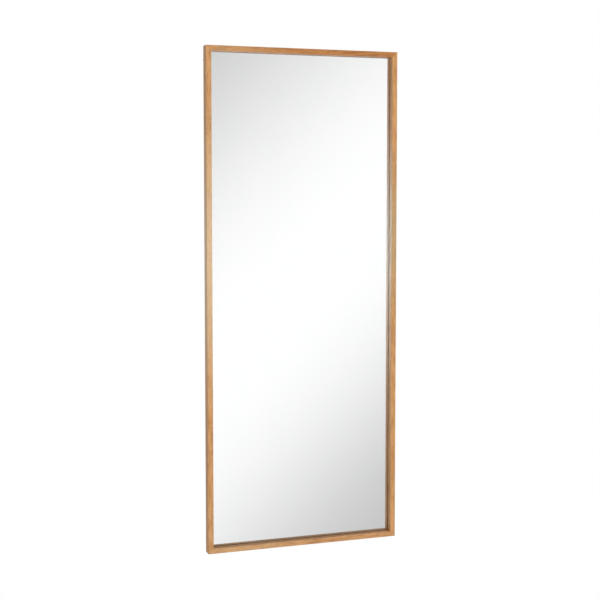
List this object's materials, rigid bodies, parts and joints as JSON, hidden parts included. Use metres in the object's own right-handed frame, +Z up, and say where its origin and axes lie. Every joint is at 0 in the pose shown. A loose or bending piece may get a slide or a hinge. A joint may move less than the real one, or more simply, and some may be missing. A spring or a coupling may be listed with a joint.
{
  "type": "wall mirror",
  "caption": "Tall rectangular wall mirror set back in a slim deep solid oak frame, with hanging rings behind.",
  "frame": {"origin": "on the wall plane, at the middle of the mirror's width and height", "axes": "+Z up along the mirror's height, +X along its width, +Y into the wall; the mirror looks along -Y"},
  "size_m": [0.6, 0.037, 1.5],
  "materials": {
    "oak": "clear oiled solid oak",
    "bead_wood": "bare softwood",
    "hardboard": "smooth brown hardboard",
    "glass": "clear float glass",
    "silver": "silvered, painted behind",
    "steel": "bright drawn steel",
    "zinc_steel": "zinc plated steel",
    "rubber": "matt black rubber"
  },
  "bodies": {
    "mirror": {"left_stile": "oak", "right_stile": "oak", "top_rail": "oak", "bottom_rail": "oak", "corner_nails": "steel", "pane_pads": "rubber", "mirror_glass": "glass", "silvering": "silver", "backing_board": "hardboard", "bead_left": "bead_wood", "bead_right": "bead_wood", "bead_top": "bead_wood", "bead_bottom": "bead_wood", "bead_pins": "steel", "hanger_strap_left": "zinc_steel", "hanger_strap_right": "zinc_steel", "hanger_screws": "zinc_steel", "wall_pads": "rubber"},
    "ring_left": {"hanger_ring_left": "zinc_steel"},
    "ring_right": {"hanger_ring_right": "zinc_steel"}
  },
  "joints": [
    {"name": "ring_left_swing", "type": "hinge", "parent": "mirror", "child": "ring_left", "pos_m": [-0.2935, -0.0032, 0.55], "axis": [1, 0, 0], "range_deg": [0, 175]},
    {"name": "ring_right_swing", "type": "hinge", "parent": "mirror", "child": "ring_right", "pos_m": [0.2935, -0.0032, 0.55], "axis": [1, 0, 0], "range_deg": [0, 175]}
  ]
}
